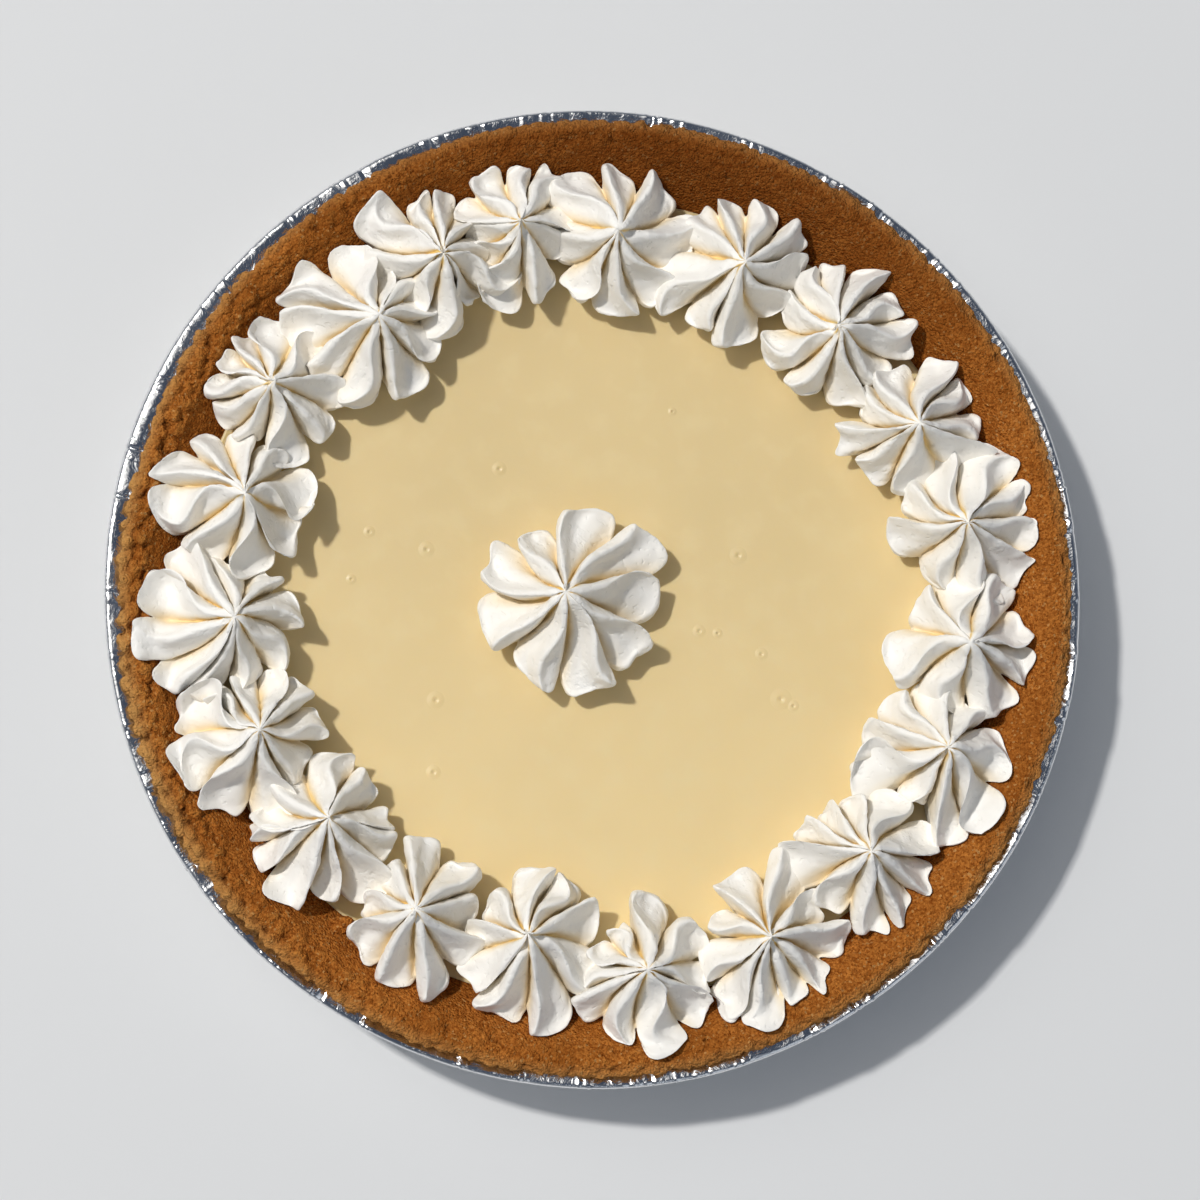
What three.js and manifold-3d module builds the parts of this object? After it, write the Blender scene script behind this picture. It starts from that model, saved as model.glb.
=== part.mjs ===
// A whole key lime pie in its foil tin, in millimetres, +Z up, origin under the middle of the tin.
// A crumb crust is pressed into a pleated foil tin, lime custard fills it to a finger's width below the
// crust's crest, and rosettes of whipped cream are piped on the custard: twenty in a ring and one in the
// middle. The X axis points to the right and the Y axis to the top of the pie as it is seen from above.
import * as THREE from "three";
import { mergeVertices } from "three/addons/utils/BufferGeometryUtils.js";
import Module from "manifold-3d";

const wasm = await Module();
wasm.setup();

// ---- Driving dimensions ----
const RIM_RADIUS = 124; // outer edge of the tin's curled rim
const RIM_HEIGHT = 33; // top of the tin's flange
const TIN_MOUTH_RADIUS = 118.4; // where the tin's wall turns into its flange
const TIN_FOOT_RADIUS = 96; // where the tin's wall would meet the table
const FOIL = 0.5; // wall thickness of the tin
const PLEATS = 48; // pleats pressed into the tin's wall
const PLEAT_DEPTH = 0.35;

const GAP = 0.3; // between pieces that touch
const CRUST_BASE = 6; // thickness of the crust under the custard
const CREST_HEIGHT = 36.6; // highest line of the crust
const CREST_RADIUS = 117;
const CRUMB_RELIEF = 0.5; // how far the crust's lumps stand up or down, and half of that to the side

const CUSTARD_LEVEL = 23;
const CUSTARD_RADIUS = 102.6; // where the custard meets the crust's wall
const WALL_FOOT = { radius: CUSTARD_RADIUS + 1, height: CUSTARD_LEVEL + 1.2 }; // the crust's sloping wall
const WALL_HEAD = { radius: CREST_RADIUS - 3.4, height: CREST_HEIGHT - 1.4 };

const TURNS = 96; // steps round the tin and the crust
const CUSTARD_TURNS = 64;

// ---- Rosettes of whipped cream ----
const CREAM_HEIGHT = 28; // from the custard to the tip of a rosette
const PETALS = 8; // ribs that the star tube leaves
const PETAL_STEP = (2 * Math.PI) / PETALS;
const PETAL_SWAY = 0.09; // how far a petal's direction wanders, in radians
const TIP_SHIFT = new THREE.Vector2(1.5, 1.3); // how far the petals lie to the side of the crown
const OUTWARD_LEAN = 1.016; // how much further out than their crown the petals of the ring lie
const CREAM_REACH = 113.5; // how near the crust's crest the petals come

// Each rosette: x and y of its crown, direction of its first petal in degrees, and the reach of its
// petals from the crown, anticlockwise. The first stands in the middle and the others go round clockwise.
const ROSETTES = [
  [-9.9, -0.9, 7, [23.9, 19.8, 20.3, 20.8, 21.8, 22.4, 25.4, 26.0]],
  [3.3, 89.7, -2, [18.3, 19.3, 17.8, 17.3, 14.0, 20.3, 22.1, 20.3]],
  [34.4, 82.2, 10, [17.8, 18.3, 16.8, 16.5, 17.5, 20.3, 22.4, 15.7]],
  [59.5, 66.8, 5, [18.8, 18.3, 15.7, 14.7, 19.0, 22.4, 21.6, 18.3]],
  [78.7, 42.4, 5, [16.8, 18.3, 15.7, 15.2, 18.8, 20.3, 17.8, 19.0]],
  [91.1, 18.0, 2, [17.3, 16.5, 15.2, 15.2, 20.8, 19.3, 19.3, 18.8]],
  [91.6, -12.6, 10, [16.8, 15.7, 18.3, 16.8, 22.4, 18.3, 21.3, 18.8]],
  [86.2, -39.0, -10, [15.7, 14.7, 13.7, 15.2, 22.9, 24.1, 20.8, 20.3]],
  [66.0, -64.6, 20, [15.2, 15.2, 14.7, 19.0, 21.6, 20.3, 21.3, 18.3]],
  [40.6, -86.0, 10, [19.0, 18.3, 14.7, 18.8, 15.7, 20.8, 22.9, 18.8]],
  [10.5, -94.0, 27, [18.3, 21.3, 17.3, 14.7, 17.8, 17.8, 19.3, 16.8]],
  [-19.1, -86.0, 15, [19.8, 20.8, 16.5, 13.2, 14.0, 20.3, 23.9, 19.3]],
  [-46.5, -79.3, -5, [16.8, 18.3, 19.3, 13.2, 13.2, 19.0, 18.8, 20.3]],
  [-68.6, -57.1, 25, [15.7, 16.8, 12.7, 13.2, 20.3, 21.3, 19.3, 17.3]],
  [-85.0, -35.5, 15, [17.8, 14.7, 12.7, 16.8, 21.8, 22.9, 20.3, 15.7]],
  [-91.5, -7.6, 9, [17.3, 14.0, 12.7, 16.8, 23.9, 23.4, 18.3, 19.3]],
  [-89.3, 23.0, 13, [18.3, 14.7, 16.8, 20.3, 23.9, 18.3, 21.3, 19.8]],
  [-83.0, 50.3, 5, [19.8, 13.2, 16.8, 14.0, 16.3, 14.7, 16.8, 19.8]],
  [-56.7, 67.0, -10, [17.8, 12.7, 13.2, 20.3, 22.4, 18.8, 23.4, 21.3]],
  [-40.5, 83.7, 20, [11.4, 15.7, 15.2, 20.8, 17.8, 15.7, 21.3, 19.8]],
  [-21.3, 91.4, 20, [14.0, 15.2, 17.3, 15.7, 12.7, 19.8, 21.3, 15.2]],
];

// A rosette from its foot to just below its tip: height over the custard, how far crests and grooves
// reach as a share of the petal's tip, the roundness of the shoulders between the two, and how far the
// ring is turned against the petals' tips, in degrees.
const CREAM_LEVELS = [
  { height: 0, crest: 0.74, groove: 0.52, shoulder: 0.8, twist: 0 },
  { height: 6.5, crest: 0.93, groove: 0.56, shoulder: 0.86, twist: 0 },
  { height: 12.5, crest: 1, groove: 0.44, shoulder: 0.8, twist: 1 },
  { height: 17.5, crest: 0.62, groove: 0.22, shoulder: 0.5, twist: 6 },
  { height: 23, crest: 0.24, groove: 0.1, shoulder: 0.5, twist: 14 },
];
const WIDEST_LEVEL = 12.5; // the height at which the petals reach furthest
const SHOULDER_ANGLE = 0.58; // where a shoulder lies between crest and groove

// Repeatable scatter between -1 and 1 for whole numbers.
function scatter(index, salt) {
  const wave = Math.sin(index * 12.9898 + salt * 78.233) * 43758.5453;
  return 2 * (wave - Math.floor(wave)) - 1;
}

// ---- Turned pieces ----

// A solid turned round the Z axis from a profile of [radius, height] points, which starts and ends on
// the axis. bend may move each vertex.
function turned(profile, steps, bend) {
  const points = profile.map(([radius, height]) => new THREE.Vector2(radius, height));
  const geometry = new THREE.LatheGeometry(points, steps);
  geometry.rotateX(Math.PI / 2);
  const position = geometry.getAttribute("position");
  const vertex = new THREE.Vector3();
  for (let i = 0; bend && i < position.count; i++) {
    vertex.fromBufferAttribute(position, i);
    bend(vertex);
    position.setXYZ(i, vertex.x, vertex.y, vertex.z);
  }
  return geometry;
}

function pushOutwards(vertex, distance) {
  const radius = Math.hypot(vertex.x, vertex.y);
  const scale = (radius + distance) / radius;
  vertex.x *= scale;
  vertex.y *= scale;
}

// Radius of the tin's outer face at a height.
function tinRadius(height) {
  return TIN_FOOT_RADIUS + (TIN_MOUTH_RADIUS - TIN_FOOT_RADIUS) * (height / RIM_HEIGHT);
}

function foilTin() {
  const foot = 2.2; // size of the bend between floor and wall
  const curl = 1.6; // how far the rim's edge is turned down
  const flange = RIM_HEIGHT;
  const profile = [
    [0, 0],
    [TIN_FOOT_RADIUS - foot, 0],
    [tinRadius(foot), foot],
    [tinRadius(flange * 0.5), flange * 0.5],
    [TIN_MOUTH_RADIUS + 1.2, flange - FOIL],
    [RIM_RADIUS - 1.7, flange - 0.2],
    [RIM_RADIUS - 1, flange - curl],
    [RIM_RADIUS, flange - 0.6],
    [RIM_RADIUS - 1.2, flange + FOIL],
    [TIN_MOUTH_RADIUS + 1.8, flange + FOIL],
    [TIN_MOUTH_RADIUS - FOIL, flange - FOIL * 0.3],
    [tinRadius(flange * 0.5) - FOIL, flange * 0.5],
    [tinRadius(foot) - FOIL, foot + FOIL * 0.6],
    [TIN_FOOT_RADIUS - foot, FOIL],
    [0, FOIL],
  ];
  const pleat = (vertex) => {
    const onWall = vertex.z > foot + FOIL && vertex.z < flange - curl - 0.2;
    if (onWall) pushOutwards(vertex, PLEAT_DEPTH * Math.cos(PLEATS * Math.atan2(vertex.y, vertex.x)));
  };
  return turned(profile, TURNS, pleat);
}

// The crust lines the tin. Its crest and the wall over the custard are lumpy with pressed crumbs.
function crumbCrust() {
  const clearance = FOIL + PLEAT_DEPTH + GAP;
  const outer = (height) => tinRadius(height) - clearance;
  const floor = FOIL + GAP;
  const profile = [
    [0, floor],
    [TIN_FOOT_RADIUS - 3.2, floor],
    [outer(3.4), 3.4],
    [outer(RIM_HEIGHT - 1), RIM_HEIGHT - 1],
    [outer(RIM_HEIGHT), RIM_HEIGHT + FOIL + GAP],
    [CREST_RADIUS + 2.9, RIM_HEIGHT + FOIL + GAP + 0.9],
    [CREST_RADIUS + 2.1, CREST_HEIGHT - 0.8],
    [CREST_RADIUS, CREST_HEIGHT],
    [WALL_HEAD.radius, WALL_HEAD.height],
    [(WALL_HEAD.radius + WALL_FOOT.radius) / 2, (WALL_HEAD.height + WALL_FOOT.height) / 2],
    [WALL_FOOT.radius, WALL_FOOT.height],
    [CUSTARD_RADIUS, CUSTARD_LEVEL - 0.4],
    [CUSTARD_RADIUS - 8.5, 9],
    [CUSTARD_RADIUS - 12, floor + CRUST_BASE],
    [0, floor + CRUST_BASE],
  ];
  const lump = (vertex) => {
    const radius = Math.hypot(vertex.x, vertex.y);
    const hidden = vertex.z < WALL_FOOT.height - 0.5 || Math.abs(vertex.z - RIM_HEIGHT) < 1.2;
    if (hidden) return;
    const turn = Math.round(((Math.atan2(vertex.y, vertex.x) / (2 * Math.PI) + 1) % 1) * TURNS) % TURNS;
    const row = Math.round(radius);
    vertex.z += CRUMB_RELIEF * scatter(turn, row);
    if (radius < CREST_RADIUS) pushOutwards(vertex, (CRUMB_RELIEF / 2) * scatter(turn, row + 50));
  };
  return turned(profile, TURNS, lump);
}

// Lime custard, cast in the crust: flat, and drawn up a little where it meets the wall.
function limeCustard() {
  const floor = FOIL + GAP + CRUST_BASE + GAP;
  const profile = [
    [0, floor],
    [CUSTARD_RADIUS - 12.4, floor],
    [CUSTARD_RADIUS - 9.1, 9 + GAP],
    [CUSTARD_RADIUS - GAP - 0.3, CUSTARD_LEVEL - 0.2],
    [CUSTARD_RADIUS - GAP - 0.4, CUSTARD_LEVEL + 0.3],
    [CUSTARD_RADIUS - 3, CUSTARD_LEVEL],
    [0, CUSTARD_LEVEL],
  ];
  return turned(profile, CUSTARD_TURNS);
}

// ---- Piped cream ----

// How low the cream may reach at a radius: the line of the crust's wall, clear of its lumps.
const WALL_SLOPE = (WALL_HEAD.height - WALL_FOOT.height) / (WALL_HEAD.radius - WALL_FOOT.radius);
const WALL_CLEARANCE = CRUMB_RELIEF * (1 + WALL_SLOPE / 2) + GAP;

function restingHeight(x, y) {
  return WALL_FOOT.height + (Math.hypot(x, y) - WALL_FOOT.radius) * WALL_SLOPE + WALL_CLEARANCE;
}

// The tips of a rosette's petals, seen from above.
function petalTips([x, y, turn, reaches], index) {
  const crown = new THREE.Vector2(x, y);
  return reaches.map((reach, petal) => {
    const sway = PETAL_SWAY * scatter(petal, index);
    const angle = THREE.MathUtils.degToRad(turn) + petal * PETAL_STEP + sway;
    const tip = new THREE.Vector2(Math.cos(angle), Math.sin(angle)).multiplyScalar(reach);
    return tip.addScaledVector(crown, OUTWARD_LEAN).add(TIP_SHIFT).clampLength(0, CREAM_REACH);
  });
}

// One ring of a rosette: for each petal its crest, a shoulder, the groove to the next petal and that
// petal's shoulder.
function creamRing(tips, middle, centre, level) {
  const spokes = tips.map((tip) => tip.clone().sub(middle));
  const ring = [];
  spokes.forEach((spoke, petal) => {
    const next = spokes[(petal + 1) % PETALS];
    const angle = spoke.angle() + THREE.MathUtils.degToRad(level.twist);
    const span = (next.angle() - spoke.angle() + 2 * Math.PI) % (2 * Math.PI);
    const reach = spoke.length() * level.crest;
    const nextReach = next.length() * level.crest;
    const grooveReach = (Math.min(spoke.length(), next.length()) + 4) * level.groove * 0.9;
    const between = (low, high) => low + (high - low) * level.shoulder;
    const columns = [
      [angle, reach],
      [angle + (span / 2) * SHOULDER_ANGLE, between(grooveReach, reach)],
      [angle + span / 2, grooveReach],
      [angle + span - (span / 2) * SHOULDER_ANGLE, between(grooveReach, nextReach)],
    ];
    for (const [direction, distance] of columns) {
      const x = centre.x + distance * Math.cos(direction);
      const y = centre.y + distance * Math.sin(direction);
      const standing = CUSTARD_LEVEL + GAP + level.height;
      const leaning = restingHeight(x, y) + level.height * 0.12;
      ring.push(new THREE.Vector3(x, y, Math.max(standing, leaning)));
    }
  });
  return ring;
}

// A closed skin over rings of equal length, with a point at its foot and at its tip.
function skin(rings, foot, tip) {
  const count = rings[0].length;
  const vertices = [...rings.flat(), foot, tip];
  const footIndex = vertices.length - 2;
  const tipIndex = vertices.length - 1;
  const topRing = (rings.length - 1) * count;
  const faces = [];
  for (let column = 0; column < count; column++) {
    const next = (column + 1) % count;
    faces.push(footIndex, next, column);
    for (let level = 0; level < rings.length - 1; level++) {
      const a = level * count + column;
      const b = level * count + next;
      faces.push(a, b, b + count, a, b + count, a + count);
    }
    faces.push(topRing + column, topRing + next, tipIndex);
  }
  const geometry = new THREE.BufferGeometry().setFromPoints(vertices);
  geometry.setIndex(faces);
  return geometry;
}

function rosetteSkin(rosette, index) {
  const [x, y] = rosette;
  const crown = new THREE.Vector2(x, y);
  const tips = petalTips(rosette, index);
  const middle = tips.reduce((sum, tip) => sum.add(tip), new THREE.Vector2()).divideScalar(PETALS);
  const rings = CREAM_LEVELS.map((level) => {
    const rise = Math.max(0, (level.height - WIDEST_LEVEL) / (CREAM_HEIGHT - WIDEST_LEVEL));
    return creamRing(tips, middle, middle.clone().lerp(crown, rise), level);
  });
  const foot = new THREE.Vector3(middle.x, middle.y, CUSTARD_LEVEL + GAP);
  const tip = new THREE.Vector3(crown.x, crown.y, CUSTARD_LEVEL + CREAM_HEIGHT);
  return { geometry: skin(rings, foot, tip), middle };
}

function solidOf(geometry) {
  const plain = geometry.clone();
  plain.deleteAttribute("normal");
  plain.deleteAttribute("uv");
  const merged = mergeVertices(plain);
  return new wasm.Manifold(
    new wasm.Mesh({
      numProp: 3,
      vertProperties: merged.getAttribute("position").array,
      triVerts: new Uint32Array(merged.index.array),
    }),
  );
}

function geometryOf(solid) {
  const mesh = solid.getMesh();
  return new THREE.BufferGeometry()
    .setAttribute("position", new THREE.BufferAttribute(mesh.vertProperties, 3))
    .setIndex(new THREE.BufferAttribute(mesh.triVerts, 1));
}

// A block that covers everything beyond the plane halfway to a neighbour.
function blockBeyond(from, to) {
  const size = 60;
  const along = to.clone().sub(from);
  const start = along.length() / 2 - GAP / 2;
  const block = new THREE.BoxGeometry(size, 2 * size, 2 * size);
  block.translate(start + size / 2, 0, CUSTARD_LEVEL);
  block.rotateZ(along.angle());
  block.translate(from.x, from.y, 0);
  return solidOf(block);
}

// The rosettes, each pressed flat against its two neighbours in the ring.
function creamRosettes() {
  const skins = ROSETTES.map(rosetteSkin);
  const ringCount = skins.length - 1;
  return skins.map(({ geometry, middle }, index) => {
    if (index === 0) return geometry;
    const before = skins[1 + ((index - 2 + ringCount) % ringCount)].middle;
    const after = skins[1 + (index % ringCount)].middle;
    const whole = solidOf(geometry);
    return geometryOf(whole.subtract(blockBeyond(middle, before)).subtract(blockBeyond(middle, after)));
  });
}

// ---- The pie ----
const foil = new THREE.MeshStandardMaterial({ color: 0xc9ccd0, roughness: 0.25, metalness: 1 });
const crumb = new THREE.MeshStandardMaterial({ color: 0x9a5a26, roughness: 0.95, metalness: 0 });
const custard = new THREE.MeshStandardMaterial({ color: 0xe4cf97, roughness: 0.45, metalness: 0 });
const cream = new THREE.MeshStandardMaterial({ color: 0xf7f2ea, roughness: 0.55, metalness: 0 });

const pie = new THREE.Group();

function addPiece(name, geometry, material) {
  const piece = new THREE.Mesh(geometry, material);
  piece.name = name;
  pie.add(piece);
}

addPiece("foil_tin", foilTin(), foil);
addPiece("crumb_crust", crumbCrust(), crumb);
addPiece("lime_custard", limeCustard(), custard);
creamRosettes().forEach((geometry, index) => {
  const name = index === 0 ? "cream_rosette_middle" : "cream_rosette_" + String(index).padStart(2, "0");
  addPiece(name, geometry, cream);
});

export default pie;
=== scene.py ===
import math
import random

import bpy
import numpy as np
from mathutils import Matrix, Vector


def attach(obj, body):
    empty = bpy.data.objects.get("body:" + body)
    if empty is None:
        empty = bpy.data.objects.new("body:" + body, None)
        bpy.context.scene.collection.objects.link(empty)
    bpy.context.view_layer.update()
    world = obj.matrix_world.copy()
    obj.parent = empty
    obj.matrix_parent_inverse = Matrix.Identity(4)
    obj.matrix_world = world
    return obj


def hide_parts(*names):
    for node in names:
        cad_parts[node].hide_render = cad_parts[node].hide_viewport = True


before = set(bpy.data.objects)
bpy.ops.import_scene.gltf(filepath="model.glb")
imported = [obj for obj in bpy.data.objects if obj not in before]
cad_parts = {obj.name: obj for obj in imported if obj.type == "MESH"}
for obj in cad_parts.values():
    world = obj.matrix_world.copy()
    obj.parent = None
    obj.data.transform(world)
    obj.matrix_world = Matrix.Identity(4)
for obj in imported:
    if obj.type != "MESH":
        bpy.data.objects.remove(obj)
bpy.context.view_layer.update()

MM = 0.001


# ---------------------------------------------------------------------------------------------
# Foil tin. A disposable pie tin pressed from thin aluminium foil: its wall is gathered into
# pleats by the press, its flange is crimped in bursts, and its edge is rolled under.
# ---------------------------------------------------------------------------------------------
class Wire:
    """A socket of a material. Sums and products of wires add the nodes that work them out."""

    def __init__(self, socket):
        self.socket = socket

    def node(self, kind, settings=None, sockets=None, out=0):
        """Adds a node with its settings, then its values and links, and returns one output."""
        tree = self.socket.id_data
        made = tree.nodes.new(kind)
        for name, value in (settings or {}).items():
            setattr(made, name, value)
        for name, value in (sockets or {}).items():
            if isinstance(value, Wire):
                tree.links.new(value.socket, made.inputs[name])
            else:
                made.inputs[name].default_value = value
        return Wire(made.outputs[out])

    def math(self, operation, first, second):
        return self.node("ShaderNodeMath", {"operation": operation}, {0: first, 1: second})

    def __add__(self, other):
        return self.math("ADD", self, other)

    def __radd__(self, other):
        return self.math("ADD", other, self)

    def __sub__(self, other):
        return self.math("SUBTRACT", self, other)

    def __rsub__(self, other):
        return self.math("SUBTRACT", other, self)

    def __mul__(self, other):
        return self.math("MULTIPLY", self, other)

    def __rmul__(self, other):
        return self.math("MULTIPLY", other, self)

    def __truediv__(self, other):
        return self.math("DIVIDE", self, other)

    def __pow__(self, other):
        return self.math("POWER", self, other)

    def clamped(self, low, high):
        """This value brought from low..high to 0..1 and held there."""
        return self.node("ShaderNodeMapRange", {"clamp": True}, {0: self, 1: low, 2: high})

    def mixed(self, first, second):
        """The second colour where this value is 1 and the first where it is 0."""
        return self.node("ShaderNodeMix", {"data_type": "RGBA"}, {0: self, 6: first, 7: second}, out=2)

    def noise(self, size, detail=2.0, roughness=0.5, distortion=0.0):
        """Cloudy unevenness with lumps of a size in metres, read at this place."""
        sockets = {"Vector": self, "Scale": 1 / size, "Detail": detail}
        sockets["Roughness"] = roughness
        sockets["Distortion"] = distortion
        return self.node("ShaderNodeTexNoise", {}, sockets)

    def cells(self, size, output=0):
        """Grains of a size in metres: the distance from each grain's middle, or its own colour."""
        return self.node("ShaderNodeTexVoronoi", {}, {"Vector": self, "Scale": 1 / size}, out=output)

    def along(self, direction):
        """How far this place lies in a direction, given as a vector of length 1."""
        settings = {"operation": "DOT_PRODUCT"}
        return self.node("ShaderNodeVectorMath", settings, {0: self, 1: direction}, out="Value")

    def bump(self, height, depth, strength=1.0):
        """A normal that shows this surface raised by height times a depth in metres."""
        sockets = {"Height": height, "Distance": depth, "Strength": strength}
        return self.node("ShaderNodeBump", {}, sockets)


def finish(name, **sockets):
    """A new material, its shader with these fixed values, and the place on the object."""
    material = bpy.data.materials.new(name)
    material.use_nodes = True
    shader = material.node_tree.nodes["Principled BSDF"]
    for socket, value in sockets.items():
        shader.inputs[socket.replace("_", " ")].default_value = value
    place = Wire(shader.outputs[0]).node("ShaderNodeTexCoord", out="Object")
    return material, shader, place


def paint(shader, **links):
    """Links wires to the shader's sockets."""
    for socket, wire in links.items():
        shader.id_data.links.new(wire.socket, shader.inputs[socket.replace("_", " ")])


def deselect():
    """Leaves nothing selected, so that an operator acts on the new piece alone."""
    bpy.ops.object.select_all(action="DESELECT")


def turned(name, profile, steps):
    """Draws a profile of (radius, height) in millimetres point by point, spins it through a 32nd of a
    turn round Z, and doubles that slice five times."""
    deselect()
    bpy.ops.mesh.primitive_plane_add(size=MM)
    piece = bpy.context.object
    piece.name = piece.data.name = name
    bpy.ops.object.mode_set(mode="EDIT")
    bpy.ops.mesh.merge(type="CENTER")
    bpy.ops.transform.translate(value=(profile[0][0] * MM, 0, profile[0][1] * MM))
    for (radius, height), (next_radius, next_height) in zip(profile, profile[1:]):
        step = ((next_radius - radius) * MM, 0, (next_height - height) * MM)
        bpy.ops.mesh.extrude_region_move(TRANSFORM_OT_translate={"value": step})
    bpy.ops.mesh.select_all(action="SELECT")
    slices = 32
    slice_angle = 2 * math.pi / slices
    bpy.ops.mesh.spin(steps=steps // slices, angle=slice_angle, center=(0, 0, 0), axis=(0, 0, 1))
    for _ in range(5):  # doubled five times, one slice makes 32
        bpy.ops.mesh.select_all(action="SELECT")
        bpy.ops.mesh.duplicate()
        bpy.ops.transform.rotate(value=slice_angle, orient_axis="Z", center_override=(0, 0, 0))
        slice_angle *= 2
    bpy.ops.mesh.select_all(action="SELECT")
    bpy.ops.mesh.remove_doubles(threshold=0.002 * MM)
    bpy.ops.mesh.normals_make_consistent(inside=False)
    bpy.ops.object.mode_set(mode="OBJECT")
    return piece


def corners(piece):
    """The piece's vertices as an array."""
    flat = np.empty(len(piece.data.vertices) * 3)
    piece.data.vertices.foreach_get("co", flat)
    return flat.reshape(-1, 3)


def move_corners(piece, places):
    piece.data.vertices.foreach_set("co", places.ravel())
    piece.data.update()


def modify(piece, kind, **settings):
    """Adds a modifier to the piece and applies it."""
    modifier = piece.modifiers.new(kind.title(), kind)
    for name, value in settings.items():
        setattr(modifier, name, value)
    bpy.context.view_layer.objects.active = piece
    bpy.ops.object.modifier_apply(modifier=modifier.name)


def mark(piece, name, values):
    """Stores one number a vertex for the material to read."""
    attribute = piece.data.attributes.new(name, "FLOAT", "POINT")
    attribute.data.foreach_set("value", np.asarray(values, dtype=np.float32))


def serve(piece, material, slot, *nodes):
    """Dresses a finished piece and sets it in the frame in place of its CAD nodes."""
    piece.data.materials.clear()
    piece.data.materials.append(material)
    deselect()
    piece.select_set(True)
    bpy.context.view_layer.objects.active = piece
    bpy.ops.object.shade_smooth()
    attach(piece, "root")
    if nodes:
        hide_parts(*nodes)


FOIL_THICKNESS = 0.25
TIN_STEPS = 1536
RIM_RADIUS = 123.9
RIM_TOP = 33.3
WALL_FOOT = (96.9, 2.2)
WALL_HEAD = (118.0, 32.0)
BEAD_RADIUS = 0.85  # of the rolled edge
PLEATS = 72
PLEAT_DEPTH = 0.45
CRIMP_BURSTS = 46
BENT_SIDE = math.radians(150)  # where handling has bent the rolled edge down

tin_profile = [(0.0, 0.13), (60.0, 0.13), (92.6, 0.13), (94.6, 0.4), (96.0, 1.1), WALL_FOOT]
for share in (0.15, 0.3, 0.45, 0.6, 0.75, 0.9, 1.0):
    radius = WALL_FOOT[0] + (WALL_HEAD[0] - WALL_FOOT[0]) * share
    tin_profile.append((radius, WALL_FOOT[1] + (WALL_HEAD[1] - WALL_FOOT[1]) * share))
tin_profile += [(118.7, 32.35), (119.5, 32.55), (120.4, 32.7), (121.2, 32.85), (121.9, 33.0)]
bead_middle = (RIM_RADIUS - BEAD_RADIUS, RIM_TOP - BEAD_RADIUS)
for turn in (120, 90, 60, 30, 0, -30, -60, -95, -130, -165):
    angle = math.radians(turn)
    bead = (bead_middle[0] + BEAD_RADIUS * math.cos(angle), bead_middle[1] + BEAD_RADIUS * math.sin(angle))
    tin_profile.append(bead)
foil_tin = turned("foil_tin_pressed", tin_profile, TIN_STEPS)

# The pleats of the wall, unevenly deep and a little askew.
tin_draw = random.Random(11)
places = corners(foil_tin)
angle = np.arctan2(places[:, 1], places[:, 0])
radius = np.hypot(places[:, 0], places[:, 1]) / MM
height = places[:, 2] / MM
sway = sum(0.35 * np.sin(k * angle + tin_draw.uniform(0, 6.28)) for k in (3, 5, 8, 13))
pleat = np.abs(np.sin(0.5 * (PLEATS * angle + 2.2 * sway))) ** 0.7 - 0.6
pleat_size = 0.7 + 0.45 * np.sin(7 * angle + 1.0) * np.sin(11 * angle + 2.0)
on_wall = np.clip((height - 1.0) / 9.0, 0, 1) * np.clip((32.6 - height) / 3.0, 0, 1)
outwards = PLEAT_DEPTH * pleat * pleat_size * on_wall

# The crimps of the flange: bursts of narrow folds, with the flange tilted evenly between bursts.
crimp = np.zeros_like(angle)
crimp_side = np.zeros_like(angle)
tilt = np.zeros_like(angle)
burst_places = []
for burst in range(CRIMP_BURSTS):
    burst_places.append(2 * math.pi * (burst + tin_draw.uniform(-0.38, 0.38)) / CRIMP_BURSTS)
for burst, middle in enumerate(burst_places):
    for fold in range(tin_draw.choice((2, 3, 4, 5, 7))):
        place = middle + tin_draw.gauss(0, 0.016)
        width = tin_draw.uniform(0.0028, 0.0055)
        depth = tin_draw.choice((-1, 1)) * tin_draw.uniform(0.2, 0.5)
        away = (angle - place + math.pi) % (2 * math.pi) - math.pi
        away = away + tin_draw.uniform(-0.4, 0.4) * (radius - 121) * 0.003
        fold_shape = np.clip(1 - np.abs(away / width), 0, 1)
        crimp += depth * fold_shape
        crimp_side += depth * 0.8 * fold_shape * np.sign(away)
    stretch = (burst_places[(burst + 1) % CRIMP_BURSTS] - middle) % (2 * math.pi)
    along = (angle - middle) % (2 * math.pi)
    inside = np.clip(along / 0.01, 0, 1) * np.clip((stretch - along) / 0.01, 0, 1)
    tilt += inside * (along < stretch) * tin_draw.uniform(-0.4, 0.4)
bent = np.clip(np.cos(angle - BENT_SIDE), 0, 1) ** 2
tilt = tilt * (1 - 0.5 * bent) - 0.08 * bent
on_flange = np.clip((radius - 118.3) / 1.6, 0, 1)
rim_sag = 0.18 * np.sin(4 * angle + 0.7) + 0.12 * np.sin(9 * angle + 2.1) + 0.08 * np.sin(23 * angle)
flange_tilt = tilt * np.clip((radius - 121) / 2.5, -1, 1) * on_flange
rise = on_flange * (np.clip(crimp, -0.6, 0.3) + rim_sag - 0.25) + flange_tilt
rise -= 0.5 * bent * np.clip((radius - 121.7) / 1.7, 0, 1)
outwards += on_flange * (0.35 * crimp_side + 0.16 * np.sin(6 * angle + 4.0) - 0.2)
widened = 1 + outwards / np.maximum(radius, 1)
places[:, 0] *= widened
places[:, 1] *= widened
places[:, 2] += rise * MM
move_corners(foil_tin, places)
modify(foil_tin, "SOLIDIFY", thickness=FOIL_THICKNESS * MM, offset=0.0)

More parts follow.
